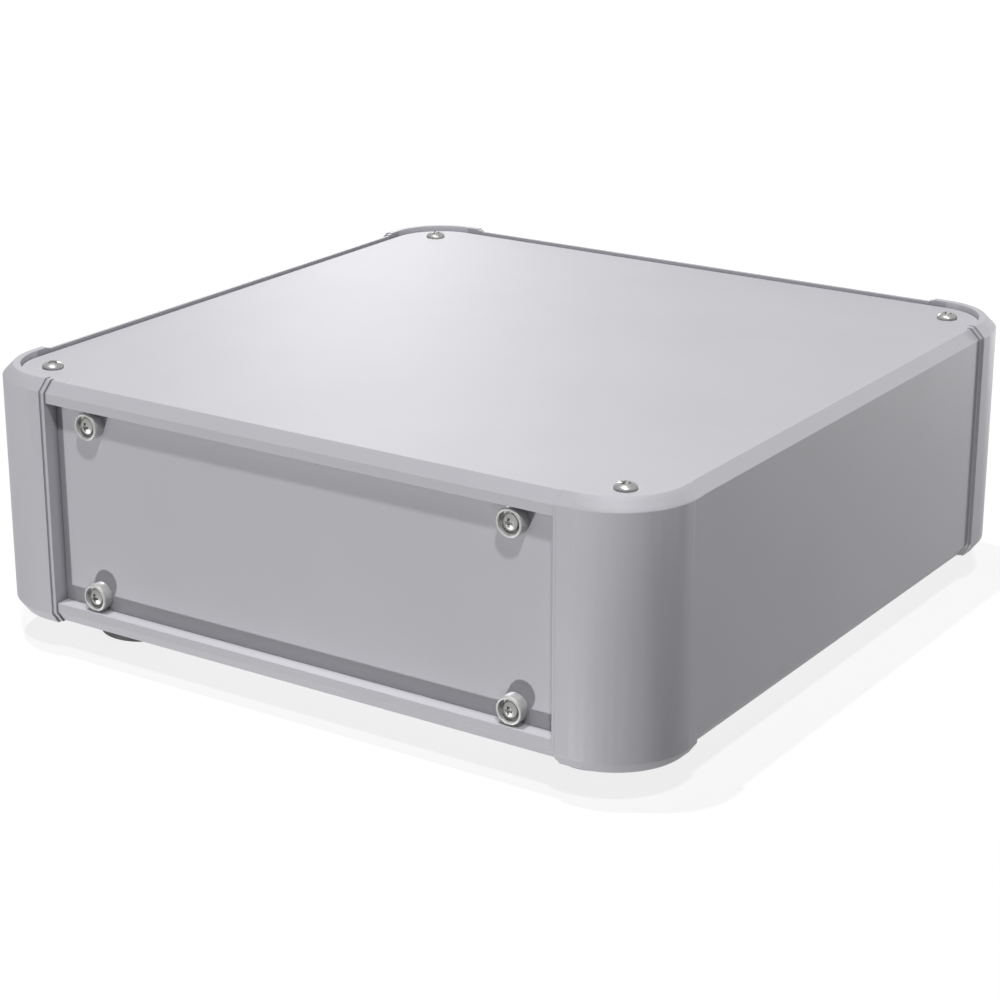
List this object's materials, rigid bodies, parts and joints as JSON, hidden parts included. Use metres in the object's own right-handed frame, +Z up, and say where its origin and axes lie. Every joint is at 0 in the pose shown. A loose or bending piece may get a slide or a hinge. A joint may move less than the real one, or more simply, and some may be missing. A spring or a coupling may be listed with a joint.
{
  "type": "shielded enclosure",
  "caption": "Low square aluminium instrument case with round corner posts, covers let into the rim, recessed end panels with collared screws, and round feet.",
  "frame": {"origin": "on the ground under the middle of the case, at the underside of the feet", "axes": "+X to the right seen from the front, +Y to the back, +Z up; the front panel faces -Y"},
  "size_m": [0.25, 0.25, 0.0929],
  "materials": {
    "case_aluminium": "fine blasted and clear anodised",
    "cover_aluminium": "fine blasted and clear anodised",
    "panel_aluminium": "fine blasted and clear anodised",
    "screw_steel": "bright nickel plated",
    "collar_metal": "turned and nickel plated",
    "inner_steel": "zinc plated",
    "gasket_rubber": "conductive, matt",
    "foot_rubber": "matt black"
  },
  "bodies": {
    "root": {"front_left_post": "case_aluminium", "front_right_post": "case_aluminium", "rear_left_post": "case_aluminium", "rear_right_post": "case_aluminium", "front_top_rail": "case_aluminium", "front_bottom_rail": "case_aluminium", "rear_top_rail": "case_aluminium", "rear_bottom_rail": "case_aluminium", "left_side_panel": "case_aluminium", "right_side_panel": "case_aluminium", "top_cover": "cover_aluminium", "bottom_cover": "cover_aluminium", "front_panel": "panel_aluminium", "rear_panel": "panel_aluminium", "top_cover_gasket": "gasket_rubber", "bottom_cover_gasket": "gasket_rubber", "front_panel_gasket": "gasket_rubber", "rear_panel_gasket": "gasket_rubber", "top_cover_screws": "screw_steel", "bottom_cover_screws": "screw_steel", "front_panel_screws": "screw_steel", "rear_panel_screws": "screw_steel", "front_panel_collars": "collar_metal", "rear_panel_collars": "collar_metal", "front_left_foot": "foot_rubber", "front_right_foot": "foot_rubber", "rear_left_foot": "foot_rubber", "rear_right_foot": "foot_rubber", "foot_screws": "inner_steel", "foot_nuts": "inner_steel", "rail_joint_screws": "inner_steel", "side_joint_screws": "inner_steel"}
  },
  "joints": []
}
